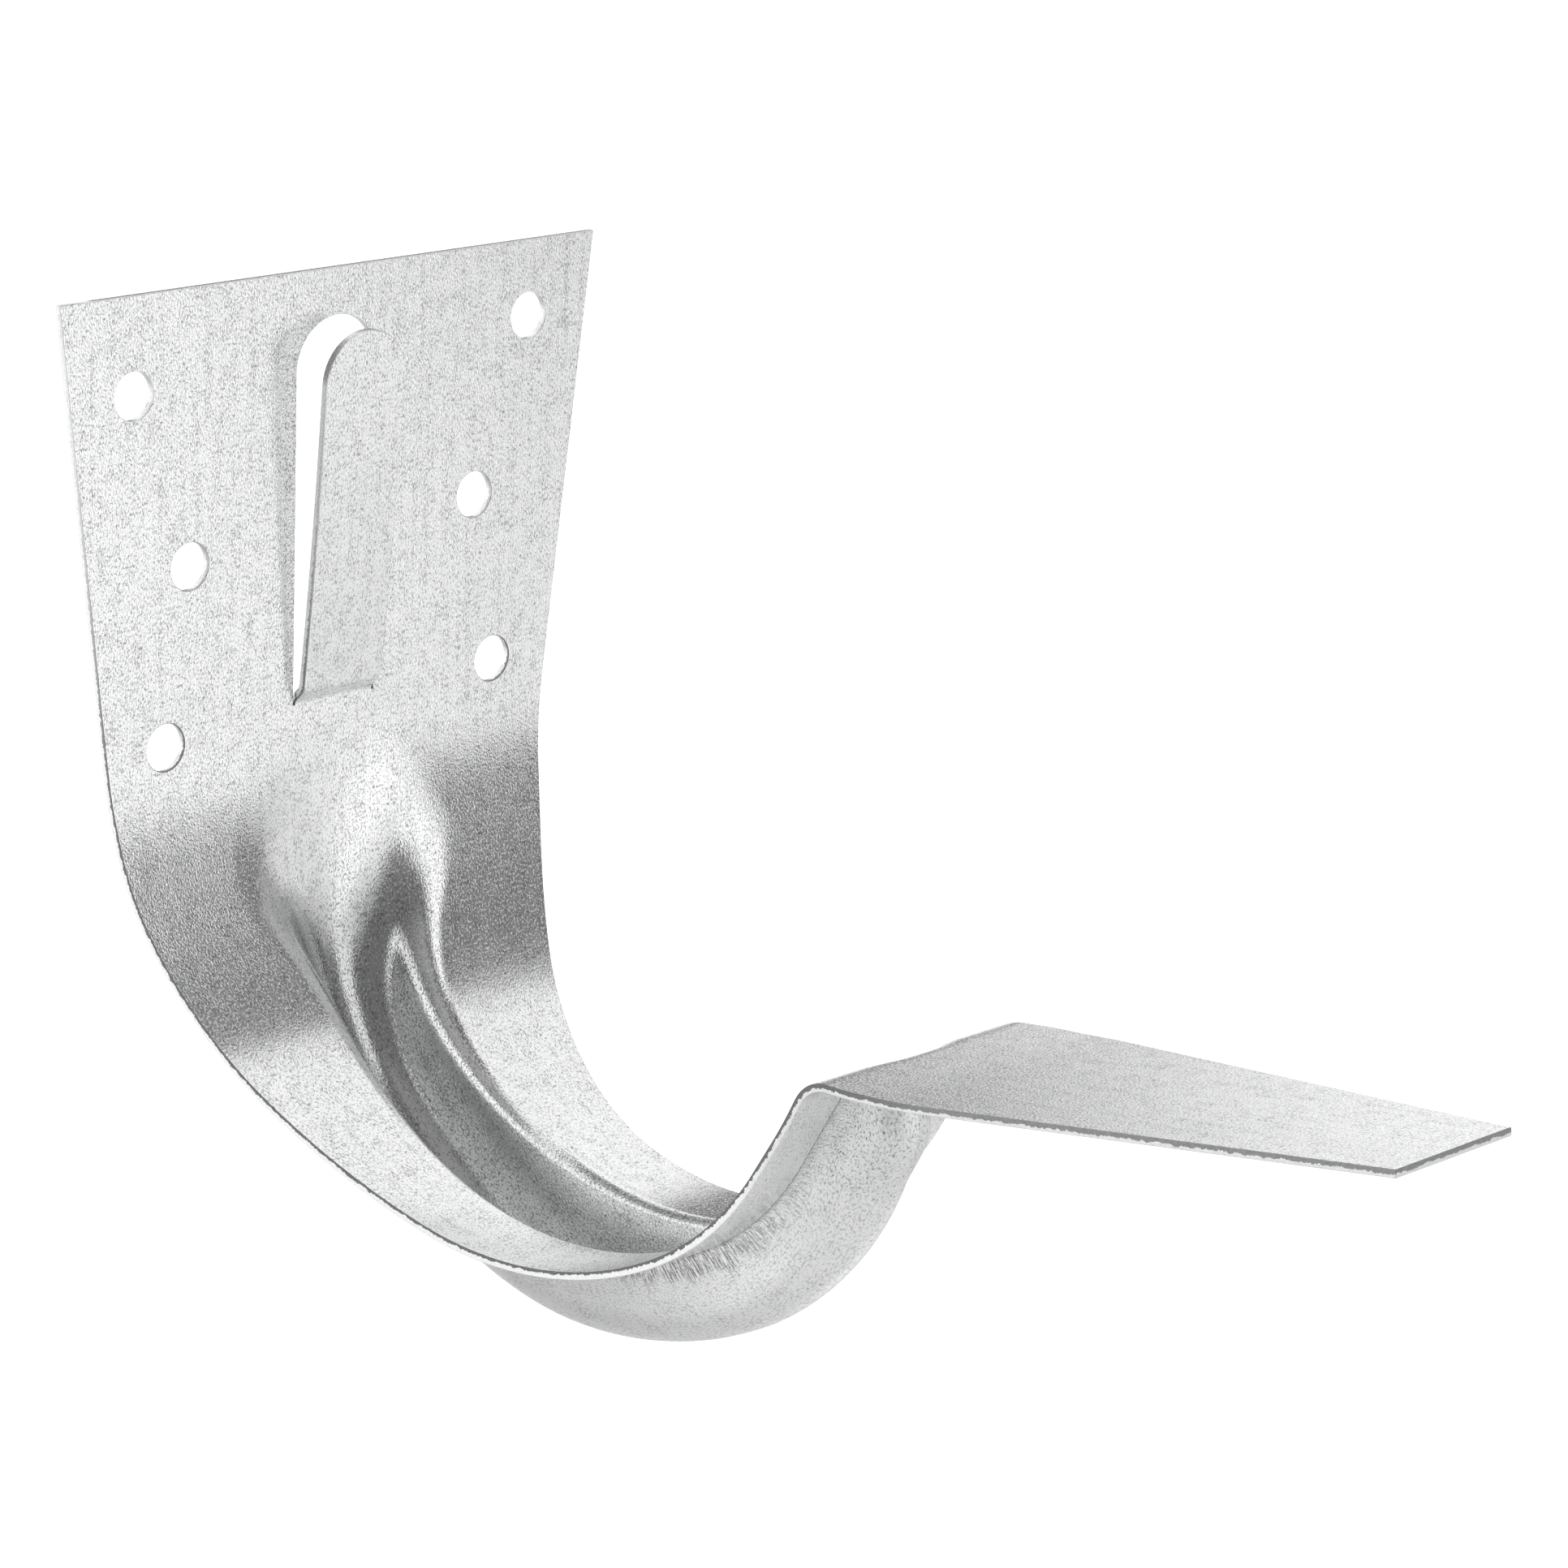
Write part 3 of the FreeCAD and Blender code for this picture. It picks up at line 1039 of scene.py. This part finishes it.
def make_world():
    """Light by direction. The camera itself sees plain white."""
    world = bpy.data.worlds.new("studio")
    bpy.context.scene.world = world
    world.use_nodes = True
    tree = world.node_tree
    background = tree.nodes["Background"]
    parts = tree.nodes.new("ShaderNodeSeparateXYZ")
    tree.links.new(tree.nodes.new("ShaderNodeTexCoord").outputs["Generated"], parts.inputs[0])
    x, y, z = parts.outputs
    turn = math_node(tree, "ARCTAN2", x, math_node(tree, "MULTIPLY", y, -1.0))
    azimuth = math_node(tree, "DEGREES", turn)
    elevation = math_node(tree, "DEGREES", math_node(tree, "ARCSINE", z))
    light = room
    for left, right, low, high, soft, brightness in panels:
        wide = band(tree, azimuth, (left + right) / 2, (right - left) / 2, soft)
        tall = band(tree, elevation, (low + high) / 2, (high - low) / 2, soft)
        light = mix(tree, product(tree, wide, tall), light, brightness)
    rays = tree.nodes.new("ShaderNodeLightPath").outputs["Is Camera Ray"]
    tree.links.new(math_node(tree, "MAXIMUM", light, rays), background.inputs["Strength"])
    background.inputs["Color"].default_value = white


def facing(tree, direction, azimuth, elevation):
    """How nearly a direction points to an azimuth (0 is -Y, 90 is +X) and an elevation."""
    a, e = math.radians(azimuth), math.radians(elevation)
    way = (math.sin(a) * math.cos(e), -math.cos(a) * math.cos(e), math.sin(e))
    return vector_node(tree, "DOT_PRODUCT", direction, way).outputs["Value"]


def painted_floor_glow(tree):
    """Painted glow of the floor, with pools of painted light and painted shadow, by the direction in which
    the bracket sees it.
    """
    position = tree.nodes.new("ShaderNodeNewGeometry").outputs["Position"]
    away = vector_node(tree, "SUBTRACT", position, ground_centre).outputs[0]
    direction = vector_node(tree, "NORMALIZE", away).outputs[0]
    total = ground
    for azimuth, elevation, sharpness, amount in floor_light_and_shadow_spots:
        near = scaled(tree, facing(tree, direction, azimuth, elevation), sharpness, -sharpness)
        total = math_node(tree, "MULTIPLY_ADD", math_node(tree, "EXPONENT", near), amount, total)
    return math_node(tree, "MAXIMUM", total, 0.0)


def make_floor():
    """Floor of a white sweep. The camera sees it white with a soft shadow, and metal sees a glow on it with
    painted light and painted shadow.
    """
    corners = [(x, y, floor_height) for x, y in ((-1, -1), (1, -1), (1, 1), (-1, 1))]
    floor_mesh = bpy.data.meshes.new("floor")
    floor_mesh.from_pydata([(x * floor_half, y * floor_half, z) for x, y, z in corners], [], [(0, 1, 2, 3)])
    floor = bpy.data.objects.new("floor", floor_mesh)
    bpy.context.scene.collection.objects.link(floor)
    pale = bpy.data.materials.new("pale_floor")
    pale.use_nodes = True
    tree = pale.node_tree
    paint = tree.nodes["Principled BSDF"]
    paint.inputs["Base Color"].default_value = floor_paint
    paint.inputs["Roughness"].default_value = floor_roughness
    paint.inputs["Specular IOR Level"].default_value = 0.0
    paint.inputs["Emission Color"].default_value = white
    path = tree.nodes.new("ShaderNodeLightPath")
    lift = math_node(tree, "MULTIPLY", path.outputs["Is Camera Ray"], floor_lift)
    tree.links.new(lift, paint.inputs["Emission Strength"])
    # Glossy rays see the floor's painted glow: painted pools of light and painted shadow.
    glow = tree.nodes.new("ShaderNodeEmission")
    tree.links.new(painted_floor_glow(tree), glow.inputs["Strength"])
    choice = tree.nodes.new("ShaderNodeMixShader")
    tree.links.new(path.outputs["Is Glossy Ray"], choice.inputs[0])
    tree.links.new(paint.outputs[0], choice.inputs[1])
    tree.links.new(glow.outputs[0], choice.inputs[2])
    tree.links.new(choice.outputs[0], tree.nodes["Material Output"].inputs["Surface"])
    floor_mesh.materials.append(pale)


make_world()
make_floor()

bpy.context.scene.view_settings.view_transform = "Standard"
